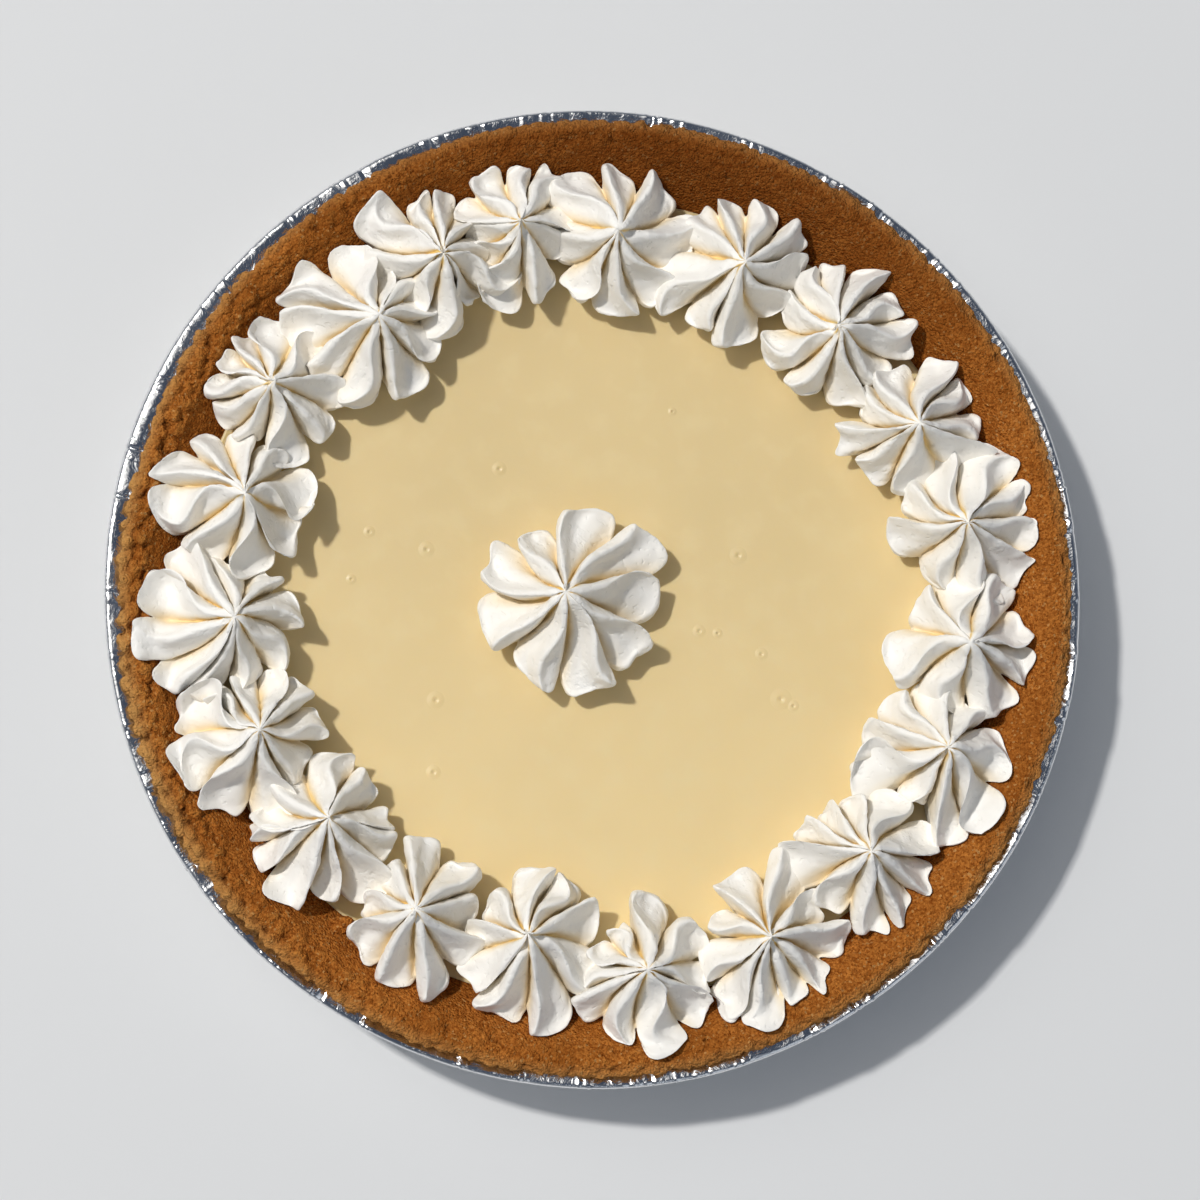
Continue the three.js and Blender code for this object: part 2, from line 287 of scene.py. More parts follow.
foil, foil_shader, place = finish("bright_foil", Metallic=1.0)
crinkle = place.noise(4 * MM, detail=4, roughness=0.6, distortion=0.8)
scuff = place.noise(0.8 * MM, detail=2)
worn = place.noise(14 * MM, detail=2)
foil_colour = worn.clamped(0.3, 0.7).mixed((0.78, 0.79, 0.81, 1), (0.90, 0.90, 0.91, 1))
dented = place.bump(crinkle, 0.6 * MM, 0.6)
paint(foil_shader, Base_Color=foil_colour, Roughness=0.05 + 0.14 * worn + 0.06 * scuff, Normal=dented)
serve(foil_tin, foil, "foil", "foil_tin")


# ---------------------------------------------------------------------------------------------
# Crumb crust. Crushed biscuit and butter, pressed by hand into the tin and baked brown. The wall
# over the custard is pressed smooth and the crest is left coarse, most of all on the left.
# ---------------------------------------------------------------------------------------------
CUSTARD_LEVEL = 23.0
CUSTARD_RADIUS = 102.6
CREST_HEIGHT = 36.5
CRUST_STEPS = 1152
SHRUNK_SIDE = math.radians(148)  # where the crest has shrunk away from the foil
COARSE_SIDE = math.radians(188)  # where the crest was left coarsest
DARK_CRUMB = (0.215, 0.055, 0.0062, 1)
LIGHT_CRUMB = (0.555, 0.202, 0.038, 1)
TOASTED_CRUMB = (0.26, 0.075, 0.0095, 1)
# Painted highlight for the lit tops of raised crumbs.
LIT_TOP_CRUMB = (0.60, 0.27, 0.062, 1)
EDGE_CRUMB = (0.55, 0.30, 0.10, 1)
PALE_FLECK = (0.56, 0.31, 0.11, 1)
COARSE_CRUMB = (0.68, 0.39, 0.13, 1)
# Darker crumb colour for the crust's top side.
TOP_SIDE_CRUMB = (0.075, 0.014, 0.001, 1)
# Painted shade for the crevices between crumbs.
SHADED_CREVICE_CRUMB = (0.05, 0.011, 0.002, 1)

crust_profile = [(0.0, 0.85), (92.0, 0.85), (95.5, 3.4), (106.0, 18.0), (115.6, 31.5), (117.0, 32.8)]
crust_top = [(119.2, 33.2), (120.6, 34.1), (120.6, 35.6), (118.6, 36.5), (115.8, 36.1), (112.8, 34.4),
             (110.4, 31.8), (108.0, 29.1), (105.6, 26.4), (103.6, 24.1), (102.5, 22.4)]
smooth_top = []
for before, start, end, after in zip(crust_top, crust_top[1:], crust_top[2:], crust_top[3:]):
    for step in range(7):
        t = step / 7
        point = []
        for a, b, c, d in zip(before, start, end, after):
            curve = 2 * b + (c - a) * t + (2 * a - 5 * b + 4 * c - d) * t**2
            point.append(0.5 * (curve + (3 * b - a - 3 * c + d) * t**3))
        smooth_top.append(tuple(point))
crust_profile += [crust_top[0]] + smooth_top + crust_top[-2:]
crust_profile += [(98.0, 16.0), (90.0, 6.8), (0.0, 6.8)]
crust = turned("crumb_crust_baked", crust_profile, CRUST_STEPS)

places = corners(crust)
angle = np.arctan2(places[:, 1], places[:, 0])
radius = np.hypot(places[:, 0], places[:, 1]) / MM
height = places[:, 2] / MM
shrunk = 1.3 * np.clip(np.cos(angle - SHRUNK_SIDE), 0, 1) ** 3 * np.clip((radius - 110) / 9, 0, 1)
narrowed = 1 - shrunk * (height > 33.5) / np.maximum(radius, 1)
places[:, 0] *= narrowed
places[:, 1] *= narrowed
move_corners(crust, places)

# The relief, from lumps down to dust. Each size of it has the part of the crust that it reaches.
over_flange = np.clip(height - 33.0 + 20 * (radius < 116.5), 0, 1)
in_view = np.clip((height - 22.5) / 2.0, 0, 1) * over_flange
crest = in_view * np.clip((radius - 110.0) / 4.5, 0, 1)
facing = np.cos(angle - COARSE_SIDE)
coarse_side = 0.28 + 0.16 * facing + 0.56 * np.clip(facing, 0, 1) ** 2
edge = crest * np.clip((radius - 118.0) / 1.5, 0, 1)
groups = {
    "pressed": in_view * (0.35 + 0.65 * crest),
    "coarse": np.maximum(crest * coarse_side, 0.45 * edge),
    "crest": np.maximum(crest * (0.4 + 0.6 * coarse_side), 0.9 * edge),
}
for name, weights in groups.items():
    group = crust.vertex_groups.new(name=name)
    for step in range(1, 11):
        chosen = np.flatnonzero(np.round(weights * 10) == step)
        group.add(chosen.tolist(), step / 10, "REPLACE")
relief = [  # name, kind, size and depth in millimetres, and the group that it reaches
    ("lumps", "CLOUDS", 9.0, 1.3, "coarse"),
    ("clods", "VORONOI", 3.4, -3.2, "coarse"),
    ("crumbs", "VORONOI", 1.8, -1.4, "crest"),
    ("grit", "VORONOI", 1.1, -0.5, "pressed"),
    ("dust", "CLOUDS", 0.8, 0.3, "pressed"),
]
flat_places = corners(crust)
flat_normals = np.empty(len(crust.data.vertices) * 3)
crust.data.vertices.foreach_get("normal", flat_normals)
for name, kind, size, depth, group in relief:
    texture = bpy.data.textures.new(name, kind)
    texture.noise_scale = size * MM
    if kind == "CLOUDS":
        texture.noise_depth = 2
    else:
        texture.distance_metric = "DISTANCE_SQUARED"
    modify(crust, "DISPLACE", texture=texture, texture_coords="LOCAL", strength=depth * MM,
           mid_level=0.5 if kind == "CLOUDS" else 0.3, vertex_group=group)
lifted = ((corners(crust) - flat_places) * flat_normals.reshape(-1, 3)).sum(1) / MM
mark(crust, "lifted", lifted)

crumb, crumb_shader, place = finish("baked_crumb", Roughness=0.95, Specular_IOR_Level=0.04)
raised = place.node("ShaderNodeAttribute", {"attribute_name": "lifted"}, out="Fac")
crumb_colours = place.cells(0.55 * MM, output="Color")
grain = place.node("ShaderNodeSeparateColor", {}, {0: crumb_colours}, out=0)
fleck = place.node("ShaderNodeSeparateColor", {}, {0: crumb_colours}, out=1)
toast = place.noise(14 * MM, detail=2)
speckle = place.noise(0.9 * MM, detail=3, roughness=0.7)
brown = (0.8 * grain + 1.4 * speckle - 0.6).clamped(0, 1).mixed(DARK_CRUMB, LIGHT_CRUMB)
brown = (0.5 * toast.clamped(0.4, 0.65)).mixed(brown, TOASTED_CRUMB)
# Crumbs that stand out get a painted highlight, lighter as if lit on their tops.
brown = (0.6 * raised.clamped(0.2, 1.8)).mixed(brown, LIT_TOP_CRUMB)
flat_place = place.node("ShaderNodeVectorMath", {"operation": "MULTIPLY"}, {0: place, 1: (1.0, 1.0, 0.0)})
from_axis = place.node("ShaderNodeVectorMath", {"operation": "LENGTH"}, {0: flat_place}, out="Value")
brown = (0.4 * from_axis.clamped(0.1175, 0.1205)).mixed(brown, EDGE_CRUMB)
brown = (0.6 * fleck.clamped(0.94, 0.98)).mixed(brown, PALE_FLECK)
coarse = place.along((-1.0, 0.0, 0.0)).clamped(0.07, 0.115) * from_axis.clamped(0.1165, 0.1195)
brown = (0.4 * coarse).mixed(brown, COARSE_CRUMB)
# The crust is darker on its top side, most of all on the inner wall inside the edge.
top_side_dark = place.along((0.208, 0.978, 0.0)).clamped(0.068, 0.114) * (1 - 0.5 * from_axis.clamped(0.117, 0.1195))
brown = (0.62 * top_side_dark).mixed(brown, TOP_SIDE_CRUMB)
# Crevices between the crumbs are painted nearly black: painted shade.
brown = (1 - raised.clamped(-2.0, -0.5)).mixed(brown, SHADED_CREVICE_CRUMB)
grit = place.cells(0.62 * MM) * -1.2 + 0.8 * place.noise(0.45 * MM, detail=2, roughness=0.7)
paint(crumb_shader, Base_Color=brown, Normal=place.bump(grit, 0.42 * MM, 1.0))
serve(crust, crumb, "crumb", "crumb_crust")


# ---------------------------------------------------------------------------------------------
# Lime custard. A set custard of lime juice, yolks and milk, poured into the baked crust. It lies
# flat, climbs a little at the crust, and shows a few burst bubbles and dimples.
# ---------------------------------------------------------------------------------------------
CUSTARD_STEPS = 384
DEEP_YELLOW = (0.70, 0.548, 0.284, 1)
LIGHT_YELLOW = (0.855, 0.672, 0.348, 1)
MILKY_YELLOW = (0.80, 0.66, 0.364, 1)
# Burst bubbles and dimples: place and size in millimetres.
BUBBLES = [(-24.5, 32.6, 1.0), (-57.5, 16.1, 0.8), (-43.0, 11.8, 1.1), (36.9, 11.0, 1.2), (26.8, -8.5, 0.9),
           (42.8, -14.3, 0.9), (47.8, -25.8, 1.5), (-40.5, -26.5, 1.2), (-41.0, -44.8, 1.0),
           (31.5, -9.0, 0.7), (51.0, -27.5, 0.8), (-62.0, 4.0, 0.7), (20.0, 48.0, 0.6)]

custard_profile = [(0.0, 7.2), (90.0, 7.2), (98.2, 16.4)]
custard_profile += [(102.4, 22.6), (102.9, 23.5), (102.2, 23.25), (101.4, 23.1)]
custard_profile += [(100.8 * (1 - ring / 44) ** 0.9, CUSTARD_LEVEL) for ring in range(45)]
custard_piece = turned("lime_custard_set", custard_profile, CUSTARD_STEPS)
swell = bpy.data.textures.new("swell", "CLOUDS")
swell.noise_scale = 38 * MM
group = custard_piece.vertex_groups.new(name="top")
group.add(np.flatnonzero(corners(custard_piece)[:, 2] > 22.5 * MM).tolist(), 1.0, "REPLACE")
modify(custard_piece, "DISPLACE", texture=swell, texture_coords="LOCAL", direction="Z", strength=0.5 * MM,
       mid_level=0.5, vertex_group="top")

custard, custard_shader, place = finish(
    "set_custard", Subsurface_Weight=0.2, Subsurface_Radius=(1.0, 0.75, 0.35), Subsurface_Scale=0.003
)
# The custard is painted darker towards the top, a painted shade, and cloudy at random.
across = place.node("ShaderNodeSeparateXYZ", {}, {0: place}, out=1)
shade_and_cloud = (0.45 - across * 5.0 + 0.6 * place.noise(40 * MM, detail=2) - 0.3).clamped(0.0, 1.0)
mottle = place.noise(7 * MM, detail=2)
yellow = shade_and_cloud.mixed(DEEP_YELLOW, LIGHT_YELLOW)
yellow = (mottle.clamped(0.5, 0.75) * 0.35).mixed(yellow, MILKY_YELLOW)
nearest = 4.0  # distance from the nearest bubble, in its own radii
for x, y, size in BUBBLES:
    spot = (x * MM, y * MM, CUSTARD_LEVEL * MM)
    away = place.node("ShaderNodeVectorMath", {"operation": "DISTANCE"}, {0: place, 1: spot}, out="Value")
    nearest = place.math("MINIMUM", away / (size * MM), nearest)
burst = 1 - nearest.clamped(0.0, 1.0)
lip = 1 - nearest.clamped(0.8, 1.9)
relief_height = 0.03 * place.noise(2.2 * MM, detail=2) - 0.36 * burst**2 + 0.15 * lip
dimpled = place.bump(relief_height, 1 * MM)
paint(custard_shader, Base_Color=yellow, Roughness=0.3 + 0.22 * mottle, Normal=dimpled)
serve(custard_piece, custard, "custard", "lime_custard")


# ---------------------------------------------------------------------------------------------
# Cream rosettes. Whipped cream piped through a star tube held upright: the star's ribs are laid
# out as thin petals, rolled up at their ends, and drawn together in a point as the tube lifts.
# ---------------------------------------------------------------------------------------------
CREAM_TOP = 27.6
# From the foot to just below the tip: height of a petal's crest and of the groove beside it, how far
# each reaches as a share of the petal's length, how full the petal's cheeks are, how deep the plate
# beside its crest lies, and how far that crest leans to one side.
CREAM_RINGS = [
    (0.0, 0.0, 0.76, 0.66, 0.85, 0.0, 0.0),
    (0.8, 0.7, 0.80, 0.70, 0.90, 0.0, 0.0),
    (3.4, 2.4, 0.81, 0.72, 0.93, 0.1, 0.1),
    (6.6, 3.8, 0.865, 0.73, 0.93, 0.3, 0.3),
    (8.8, 4.6, 0.93, 0.73, 0.94, 0.5, 0.6),
    (10.6, 5.6, 0.985, 0.72, 0.94, 0.7, 0.85),
    (11.7, 6.6, 1.0, 0.71, 0.94, 0.8, 1.0),
    (12.7, 7.4, 0.985, 0.69, 0.93, 1.0, 1.0),
    (13.5, 7.6, 0.93, 0.65, 0.92, 1.25, 1.0),
    (14.9, 8.4, 0.83, 0.59, 0.92, 1.3, 0.95),
    (16.8, 9.7, 0.70, 0.51, 0.92, 1.3, 0.85),
    (19.0, 11.6, 0.56, 0.42, 0.91, 1.3, 0.7),
    (21.3, 14.2, 0.43, 0.33, 0.90, 1.3, 0.55),
    (23.4, 17.3, 0.31, 0.235, 0.88, 1.25, 0.4),
    (25.2, 21.3, 0.21, 0.16, 0.86, 1.1, 0.25),
    (26.6, 24.8, 0.135, 0.115, 0.9, 0.6, 0.1),
    (27.3, 26.8, 0.075, 0.07, 0.9, 0.0, 0.0),
]
# Where the columns stand between a petal's crest, at 0, and the groove beside it, at 1.
COLUMN_SHARES = (0.14, 0.3, 0.48, 0.72, 0.9)
# Each rosette: where its crown is seen from above, in millimetres, then the direction in degrees and
# the reach of every petal. The first stands in the middle; the others follow the ring clockwise.
ROSETTES = [
    (-8.2, 0.6, [(30, 25.4), (75, 21.6), (115, 18.8), (155, 21.6), (200, 23.3),
     (248, 25.4), (283, 26.6), (318, 26.6), (352, 25.4)]),
    (5.2, 93.0, [(47, 18.3), (87, 17.8), (130, 19.8), (195, 17.3),
     (228, 20.3), (270, 22.3), (305, 21.6), (352, 18.3)]),
    (36.9, 85.4, [(28, 17.8), (60, 16.5), (102, 16.8), (127, 16.5), (197, 24.1),
     (232, 20.3), (268, 22.8), (308, 15.2), (352, 16.2)]),
    (62.6, 69.7, [(22, 15.7), (62, 18.5), (98, 15.2), (125, 15.2), (165, 15.2),
     (207, 21.6), (240, 21.6), (272, 21.1), (315, 15.2), (350, 18.3)]),
    (82.1, 44.8, [(30, 16.5), (68, 18.3), (112, 15.2), (163, 15.7), (190, 21.6),
     (228, 19.0), (265, 17.8), (332, 20.3), (355, 15.7)]),
    (94.8, 19.9, [(20, 18.3), (70, 18.3), (115, 16.5), (162, 17.8), (190, 21.6),
     (235, 18.3), (280, 20.3), (318, 19.0), (345, 17.8)]),
    (95.3, -11.3, [(20, 16.5), (58, 16.5), (105, 17.3), (145, 17.8),
     (192, 22.3), (240, 17.8), (300, 19.0), (335, 17.3)]),
    (89.7, -38.2, [(65, 12.7), (105, 15.2), (145, 20.3), (170, 23.3), (200, 25.4),
     (243, 15.2), (268, 22.8), (302, 21.6), (358, 15.7)]),
    (69.2, -64.3, [(12, 16.5), (65, 15.2), (115, 15.2), (140, 17.3), (165, 19.0),
     (185, 23.3), (235, 17.3), (275, 20.3), (300, 20.3), (337, 18.3)]),
    (43.3, -86.2, [(30, 15.7), (70, 22.8), (125, 19.0), (155, 15.2), (200, 16.5),
     (230, 20.8), (270, 22.8), (300, 17.8), (325, 19.0), (355, 20.3)]),
    (12.6, -94.3, [(30, 15.2), (87, 20.3), (125, 14.0), (155, 14.7), (185, 15.2),
     (210, 19.0), (240, 19.0), (285, 20.3), (325, 17.8), (355, 14.7)]),
    (-17.6, -86.2, [(12, 19.0), (50, 19.0), (80, 19.0), (140, 14.0), (175, 14.7),
     (215, 17.8), (245, 22.3), (290, 24.1), (332, 19.0)]),
    (-45.6, -79.3, [(47, 19.0), (80, 19.0), (135, 12.7), (170, 12.7), (212, 18.3),
     (255, 20.3), (285, 22.3), (322, 17.8), (358, 15.2)]),
    (-68.1, -56.7, [(0, 16.5), (38, 16.5), (82, 17.3), (130, 15.2), (170, 17.8), (190, 19.0),
     (205, 20.3), (240, 23.3), (270, 19.8), (300, 22.8), (337, 17.8)]),
    (-84.9, -34.6, [(12, 17.8), (52, 16.5), (75, 15.7), (105, 13.2), (138, 14.0),
     (170, 21.6), (207, 22.8), (250, 22.8), (277, 21.6), (325, 15.2)]),
    (-91.5, -6.2, [(5, 17.8), (55, 15.2), (90, 13.2), (130, 22.8), (165, 24.1),
     (200, 25.4), (225, 24.1), (255, 17.8), (290, 16.5), (325, 17.8)]),
    (-89.2, 25.0, [(8, 17.8), (62, 14.0), (92, 13.7), (122, 17.3), (157, 23.3),
     (198, 23.3), (240, 18.3), (280, 20.3), (322, 20.3)]),
    (-82.9, 52.9, [(30, 16.8), (85, 15.7), (118, 14.2), (150, 14.0), (178, 15.7),
     (215, 14.0), (250, 15.2), (290, 21.6), (325, 20.8), (350, 19.8)]),
    (-56.0, 69.9, [(20, 14.2), (50, 12.7), (85, 12.7), (112, 19.0), (160, 24.9),
     (195, 22.8), (225, 19.8), (265, 23.3), (298, 21.6), (340, 17.8)]),
    (-39.5, 86.9, [(20, 10.2), (55, 12.7), (85, 15.7), (115, 16.5), (155, 21.6),
     (195, 17.8), (232, 17.8), (280, 22.8), (310, 15.2), (327, 21.6)]),
    (-19.9, 94.8, [(10, 15.2), (60, 15.2), (90, 14.2), (120, 15.7), (165, 15.2),
     (195, 12.7), (225, 14.7), (257, 22.3), (295, 21.6), (330, 12.7)]),
]
CROWN_SHIFT = Vector((1.83, 1.56))  # how far a crown seems shifted, as seen from the lower left
PETAL_SHIFT = Vector((0.36, 0.30))
WALL_SLOPE = 1.1
RING_RADIUS = 92
SOFT_WHITE = (0.91, 0.89, 0.845, 1)
BRIGHT_WHITE = (0.935, 0.92, 0.882, 1)
# Painted glow: light bounced and scattered in the grooves.
GROOVE_GLOW_YELLOW = (0.84, 0.60, 0.20, 1)


def cheek(share, fullness):
    """How far a petal still stands out at a share of the way from its crest to the groove."""
    return (1 - share ** (1.6 + 6.4 * fullness**4)) ** (3.6 - 3.2 * fullness)


def ribbon(across, plate):
    """Height of a petal's side at some millimetres from its crest: a flat top, then a steep slope that
    runs out in a hollow."""
    return 1 - 0.62 * plate * math.sin(min(max(across - 0.7, 0) / 3.0, 1) * math.pi / 2)


def wall_height(radius):
    """Height of the crust's wall and crest at a radius, both in millimetres."""
    return min(CUSTARD_LEVEL + 1.2 + (radius - CUSTARD_RADIUS - 1) * WALL_SLOPE, CREST_HEIGHT + 0.5)


def piped_column(name, columns, rings):
    """Draws up a closed column of rings from a disc, and gathers its top to a point."""
    deselect()
    bpy.ops.mesh.primitive_circle_add(vertices=columns, radius=MM, fill_type="NGON")
    piece = bpy.context.object
    piece.name = piece.data.name = name
    bpy.ops.object.mode_set(mode="EDIT")
    bpy.ops.mesh.select_all(action="SELECT")
    for _ in range(rings):
        bpy.ops.mesh.extrude_region_move(TRANSFORM_OT_translate={"value": (0, 0, MM)})
    bpy.ops.mesh.merge(type="CENTER")
    bpy.ops.mesh.select_all(action="SELECT")
    bpy.ops.mesh.normals_make_consistent(inside=False)
    bpy.ops.object.mode_set(mode="OBJECT")
    return piece


def pipe_rosette(name, seen, petals, seed):
    """Pipes one rosette where its crown is seen. The seed decides how each petal curls."""
    draw = random.Random(seed)
    crown = (Vector(seen) - CROWN_SHIFT) * 0.98
    tips = []
    ring_way = Vector((-seen[1], seen[0])) / RING_RADIUS
    for direction, reach in petals:
        step = Vector((math.cos(math.radians(direction)), math.sin(math.radians(direction))))
        reach *= 1 + 0.12 * abs(step.dot(ring_way)) ** 3
        tips.append(Vector(seen) - PETAL_SHIFT + reach * step)
    middle = sum(tips, Vector((0, 0))) / len(tips)
    spokes = sorted((math.atan2(tip.y - middle.y, tip.x - middle.x), (tip - middle).length) for tip in tips)
    count = len(spokes)
    spans = [(spokes[(i + 1) % count][0] - spokes[i][0]) % (2 * math.pi) for i in range(count)]
    tallness = draw.uniform(0.95, 1.03)
    twist = math.radians(draw.uniform(-8, 14))
    curls = [math.radians(draw.gauss(0, 13)) for _ in spokes]
    waves = [math.radians(draw.gauss(0, 10)) for _ in spokes]
    flares = [draw.uniform(-0.03, 0.10) for _ in spokes]
    hand = draw.choice((-1, 1))
    leans = [hand * draw.choice((1, 1, 1, -1)) * draw.uniform(0.5, 0.88) for _ in spokes]
    corner_reach = [draw.uniform(-0.14, 0.14) for _ in spokes]
    dips = [draw.uniform(-0.03, 0.12) for _ in spokes]
    lifts = [draw.uniform(-1.6, 1.2) for _ in spokes]
    peaks = [draw.choice((0, 0, 0, -1)) * draw.uniform(1.5, 4.0) + draw.uniform(-0.7, 0.7) for _ in spokes]
    grooves = [0.5 + draw.uniform(-0.1, 0.1) for _ in spokes]
    notches = [draw.uniform(0.8, 1.06) for _ in spokes]
    openings = [draw.uniform(-0.02, 0.07) for _ in spokes]
    tip_lean = Vector((draw.gauss(0, 0.5), draw.gauss(0, 0.5)))

    places = []
    hollows = []
    for crest_height, groove_height, crest_share, groove_share, fullness, plate, lean in CREAM_RINGS:
        rise = min(max((crest_height - 12) / (CREAM_TOP - 12), 0), 1)
        skirt = math.exp(-(((crest_height - 6.5) / 3.2) ** 2))
        skirt -= 0.4 * math.exp(-(((crest_height - 12) / 1.5) ** 2))
        centre = middle.lerp(crown, rise**0.8)
        on_top = crest_height > 12
        drawn_up = 1 - crest_share if on_top else 0
        near_crown = math.exp(-((crest_share / 0.26) ** 2))
        turns = []
        for i in range(count):
            room = spans[i] * grooves[i] if leans[i] > 0 else spans[i - 1] * (1 - grooves[i - 1])
            lean_angle = lean * leans[i] * min(room, 0.35)
            wave = waves[i] * math.sin(2 * math.pi * crest_share) if on_top else 0
            turns.append(drawn_up * (twist + curls[i]) + wave + lean_angle)
        for i in range(count):
            j = (i + 1) % count
            start, end = spokes[i][0] + turns[i], spokes[i][0] + spans[i] + turns[j]
            groove_curl = drawn_up * (twist + (curls[i] + curls[j]) / 2)
            groove_angle = spokes[i][0] + spans[i] * grooves[i] + groove_curl
            groove_reach = (min(spokes[i][1], spokes[j][1]) * 0.8 + 4.0) * groove_share * notches[i]
            columns = [(i, 1, start, share) for share in (0,) + COLUMN_SHARES + (1,)]
            columns += [(j, -1, end, share) for share in reversed(COLUMN_SHARES)]
            for petal, side, crest_angle, share in columns:
                broad = max(-side * leans[petal], 0)
                fan = corner_reach[petal] * min(share / 0.74, 1) ** 1.5
                fan -= dips[petal] * math.sin(math.pi * min(share / 0.74, 1))
                fan = 1 + fan * (broad > 0) * crest_share**2
                direction = crest_angle + (groove_angle - crest_angle) * share
                length = spokes[petal][1] * crest_share * fan * (1 + flares[petal] * skirt)
                outline = cheek(share, fullness - openings[i] * crest_share)
                distance = groove_reach + (length - groove_reach) * outline
                crest = crest_height + lifts[petal] * crest_share**3 * min(crest_height / 8, 1)
                crest += peaks[petal] * near_crown
                across = share * abs(groove_angle - crest_angle) * length
                level = cheek(share, fullness) * ribbon(across, plate if broad > 0 else 0.8 * plate)
                level += 0.1 * broad * crest_share**2 * math.exp(-(((share - 0.8) / 0.12) ** 2))
                height = groove_height + (crest - groove_height) * level
                height -= 1.8 * broad * crest_share**2 * share * min(crest_height / 8, 1)
                x = centre.x + distance * math.cos(direction)
                y = centre.y + distance * math.sin(direction)
                z = CUSTARD_LEVEL + 0.1 + height * tallness
                z = max(z, wall_height(math.hypot(x, y)) + 0.3 + 0.12 * crest_height)
                places.append((x, y, z))
                # The hollow mark tells where the grooves get their painted glow, strongest deep near the
                # crown.
                hollows.append(share**7 * (1 - 0.6 * crest_share) if on_top else 0.25 * share**7)
    columns = count * (2 * len(COLUMN_SHARES) + 2)
    places.append((*(crown + tip_lean), CUSTARD_LEVEL + CREAM_TOP * tallness))
    hollows.append(0)

    piece = piped_column(name, columns, len(CREAM_RINGS))
    order = []
    for corner in piece.data.vertices:
        ring = round(corner.co.z / MM)
        column = round(math.atan2(corner.co.y, corner.co.x) / (2 * math.pi) * columns) % columns
        order.append(ring * columns + column if ring < len(CREAM_RINGS) else len(places) - 1)
    move_corners(piece, np.array(places)[order] * MM)
    mark(piece, "hollow", np.array(hollows)[order])
    modify(piece, "SUBSURF", levels=2, render_levels=2, use_limit_surface=False)
    for texture, depth in ((cream_folds, 1.1), (cream_dents, 0.5), (cream_grain, 0.16)):
        modify(piece, "DISPLACE", texture=texture, texture_coords="LOCAL", strength=depth * MM)
    return piece


cream_folds = bpy.data.textures.new("folds", "CLOUDS")
cream_folds.noise_scale = 8 * MM
cream_dents = bpy.data.textures.new("dents", "CLOUDS")
cream_dents.noise_scale = 3 * MM
cream_grain = bpy.data.textures.new("grain", "CLOUDS")
cream_grain.noise_scale = 1.1 * MM

cream, cream_shader, place = finish("whipped_cream")
hollow = place.node("ShaderNodeAttribute", {"attribute_name": "hollow"}, out="Fac")
cream_cloud = place.noise(8 * MM, detail=2)
white = cream_cloud.clamped(0.35, 0.7).mixed(SOFT_WHITE, BRIGHT_WHITE)
# Grooves are painted warm yellow, a painted glow of light bounced between cream and custard.
white = (1.25 * hollow).clamped(0, 1).mixed(white, GROOVE_GLOW_YELLOW)
pits = place.noise(1.2 * MM, detail=0).clamped(0.2, 0.34)
torn = cream_cloud.clamped(0.56, 0.68) * place.noise(1.3 * MM, detail=2, roughness=0.6)
surface = 1.6 * pits + 5 * torn
dented = place.bump(surface, 0.12 * MM, 0.6)
paint(cream_shader, Base_Color=white, Roughness=0.42 + 0.2 * cream_cloud, Normal=dented)

for index, (x, y, petals) in enumerate(ROSETTES):
    name = f"{index:02d}" if index else "middle"
    rosette = pipe_rosette(f"rosette_{name}_piped", (x, y), petals, 40 + index)
    serve(rosette, cream, "cream", f"cream_rosette_{name}")


# ---------------------------------------------------------------------------------------------
# Loose crumbs. Bits of the crust that broke off in the oven and while the pie was moved: most
# lie on the crest beside the foil, and one clump rests on the wall between two rosettes.
# ---------------------------------------------------------------------------------------------
LOOSE_CRUMBS = 80
CLUMP_PLACE = (-64.6, -83.1)


def landing(x, y):
    """Where something dropped from above comes to rest on the crust or the tin's flange."""
    for below in (crust, foil_tin):
        hit, spot, _, _ = below.ray_cast(Vector((x, y, 0.08)), Vector((0, 0, -1)))
        if hit:
            return spot
    return Vector((x, y, 0))


crumb_draw = random.Random(5)
deselect()
bpy.ops.mesh.primitive_ico_sphere_add(subdivisions=1, radius=0.5)
chip = bpy.context.object
bpy.ops.object.mode_set(mode="EDIT")
bpy.ops.mesh.select_all(action="SELECT")
bpy.ops.transform.vertex_random(offset=0.12, seed=3)
bpy.ops.object.mode_set(mode="OBJECT")
crumbs = []
for number in range(LOOSE_CRUMBS):
    angle = math.radians(crumb_draw.gauss(170, 80))
    radius = crumb_draw.choice((crumb_draw.uniform(105, 113), crumb_draw.uniform(113, 120.5))) * MM
    spot = landing(radius * math.cos(angle), radius * math.sin(angle))
    size = crumb_draw.uniform(0.6, 1.6) * MM
    crumb_piece = chip.copy()
    crumb_piece.data = chip.data.copy()
    bpy.context.collection.objects.link(crumb_piece)
    axis = Vector([crumb_draw.gauss(0, 1) for _ in range(3)]).normalized()
    turn = Matrix.Rotation(crumb_draw.uniform(0, 6.28), 4, axis)
    width = size * crumb_draw.uniform(0.6, 1)
    thickness = size * crumb_draw.uniform(0.5, 0.8)
    squash = Matrix.Diagonal((size, width, thickness, 1))
    crumb_piece.data.transform(Matrix.Translation(spot + Vector((0, 0, 0.2 * size))) @ turn @ squash)
    crumbs.append(crumb_piece)
bpy.data.objects.remove(chip)

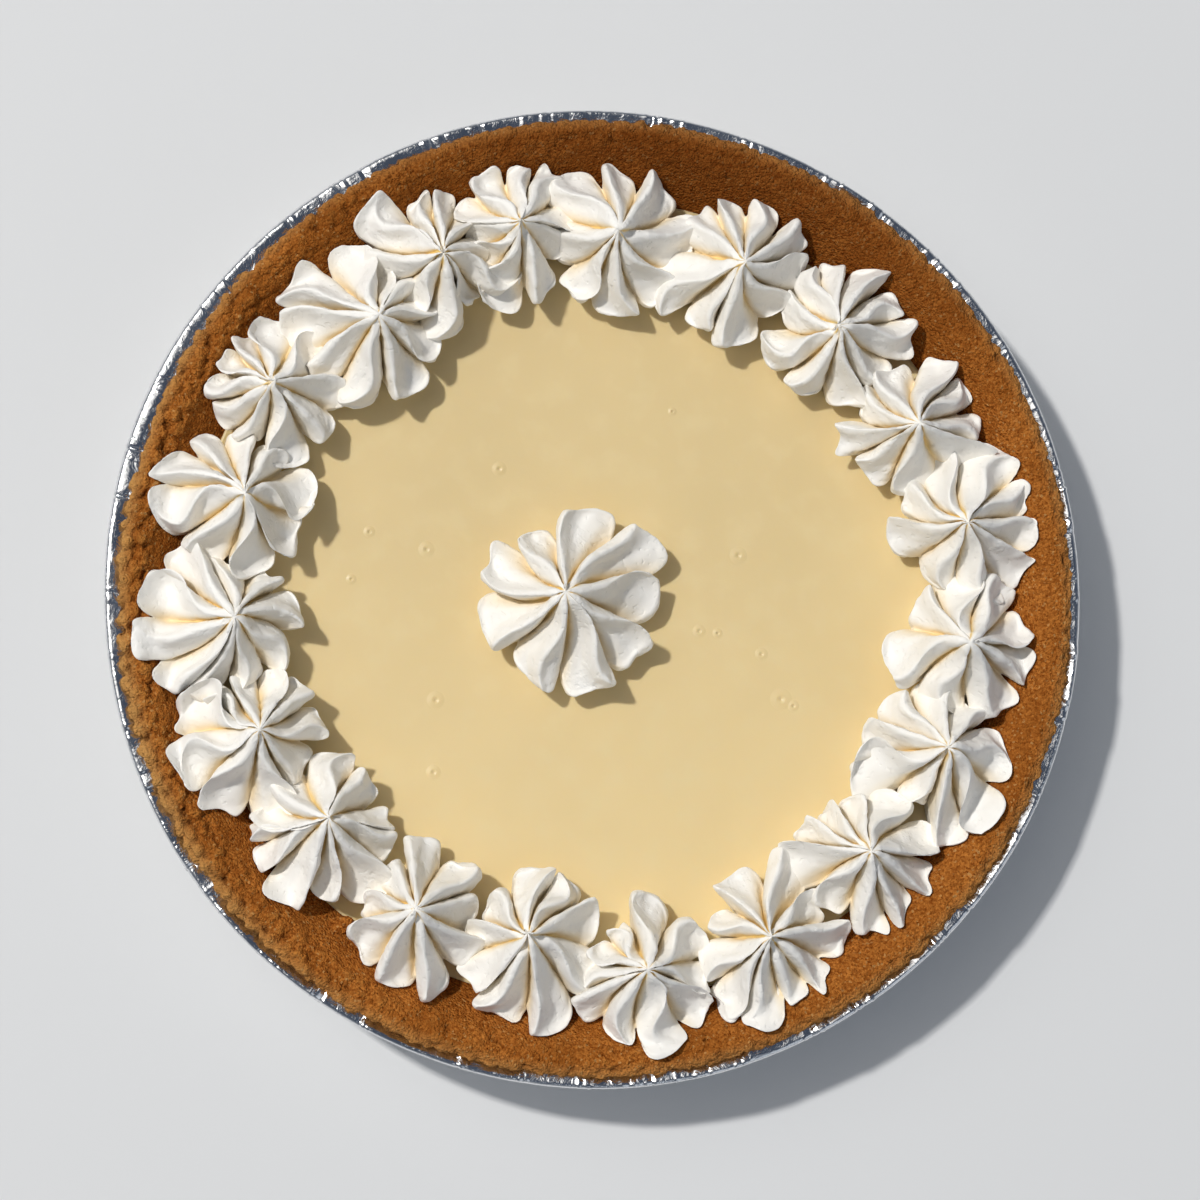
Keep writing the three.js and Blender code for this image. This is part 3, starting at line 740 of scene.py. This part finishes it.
deselect()
spot = landing(CLUMP_PLACE[0] * MM, CLUMP_PLACE[1] * MM)
bpy.ops.mesh.primitive_ico_sphere_add(subdivisions=4, radius=2.6 * MM)
clump = bpy.context.object
clump.name = clump.data.name = "loose_crumbs"
squash = Matrix.Diagonal((1.15, 0.9, 0.75, 1))
clump.data.transform(Matrix.Translation(spot + Vector((0, 0, 1.2 * MM))) @ squash)
for name, depth in (("clods", 1.8), ("crumbs", -1.0), ("grit", -0.4)):
    texture = bpy.data.textures[name]
    modify(clump, "DISPLACE", texture=texture, texture_coords="LOCAL", strength=depth * MM)
deselect()
for crumb_piece in crumbs + [clump]:
    crumb_piece.select_set(True)
bpy.context.view_layer.objects.active = clump
bpy.ops.object.join()
serve(clump, crumb, "crumb")


# ---------------------------------------------------------------------------------------------
# Photo set. A plain pale floor, one strong soft light high on the upper left with a weak fill from
# the other side, and a camera that looks almost straight down.
# ---------------------------------------------------------------------------------------------
LOOK_AT = Vector((0.0003, -0.0016, 0.033))
CAMERA_DISTANCE = 0.9
CAMERA_TILT = math.radians(7.6)
CAMERA_SIDE = Vector((-0.76, -0.65, 0))  # the way in which the camera leans
CAMERA_LENS = 107.1
FLOOR_SIZE = 6
FLOOR_GREY = (0.73, 0.74, 0.75, 1)
SUN_DIRECTION = math.radians(150)
SUN_HEIGHT = math.radians(58)
SUN_POWER = 115.0
FILL_DIRECTION = SUN_DIRECTION + math.pi * 0.9
FILL_HEIGHT = math.radians(40)
FILL_POWER = 1.9

deselect()
bpy.ops.mesh.primitive_plane_add(size=FLOOR_SIZE, location=(0, 0, 0))
floor = bpy.context.object
floor.name = floor.data.name = "pale_floor"
paper, _, _ = finish("pale_paper", Base_Color=FLOOR_GREY, Roughness=0.75)
floor.data.materials.append(paper)


def way_to(direction, height):
    """The unit vector towards a compass direction and a height above the floor, both in radians."""
    flat = math.cos(height)
    return Vector((math.cos(direction) * flat, math.sin(direction) * flat, math.sin(height)))


def area_light(name, direction, height, distance, size, power, colour):
    """A square light, turned to the pie from a compass direction and a height above the floor."""
    away = way_to(direction, height)
    light = bpy.data.lights.new(name, "AREA")
    light.size = size
    light.energy = power
    light.color = colour
    lamp = bpy.data.objects.new(name, light)
    bpy.context.collection.objects.link(lamp)
    lamp.location = LOOK_AT + away * distance
    lamp.rotation_euler = away.to_track_quat("Z", "Y").to_euler()


area_light("key_light", SUN_DIRECTION, SUN_HEIGHT, 4.0, 0.20, SUN_POWER, (1.0, 0.975, 0.94))
area_light("fill_light", FILL_DIRECTION, FILL_HEIGHT, 1.4, 1.2, FILL_POWER, (0.9, 0.95, 1.0))

world = bpy.data.worlds.new("studio")
bpy.context.scene.world = world
world.use_nodes = True
tree = world.node_tree
sky = Wire(tree.nodes["Background"].outputs[0])
outward = sky.node("ShaderNodeTexCoord", out="Generated")
up = sky.node("ShaderNodeSeparateXYZ", {}, {0: outward}, out=2)
sun = way_to(SUN_DIRECTION, SUN_HEIGHT)
near_sun = outward.along(sun)
glow = up.clamped(0.05, 0.8).mixed((0.36, 0.38, 0.40, 1), (0.055, 0.07, 0.10, 1))
glow = near_sun.clamped(0.865, 0.955).mixed(glow, (1.1, 1.08, 1.04, 1))
seen = sky.node("ShaderNodeLightPath", out="Is Camera Ray").mixed(glow, (0.72, 0.74, 0.76, 1))
tree.links.new(seen.socket, tree.nodes["Background"].inputs["Color"])

bpy.context.scene.view_settings.view_transform = "Standard"

camera = bpy.data.cameras.new("camera")
camera.sensor_width = 36
camera.lens = CAMERA_LENS
camera_object = bpy.data.objects.new("camera", camera)
bpy.context.collection.objects.link(camera_object)
stand = CAMERA_SIDE.normalized() * math.sin(CAMERA_TILT) + Vector((0, 0, math.cos(CAMERA_TILT)))
right = Vector((0, 1, 0)).cross(stand).normalized()
frame_of_camera = Matrix((right, stand.cross(right), stand)).transposed().to_4x4()
frame_of_camera.translation = LOOK_AT + stand * CAMERA_DISTANCE
camera_object.matrix_world = frame_of_camera
bpy.context.scene.camera = camera_object
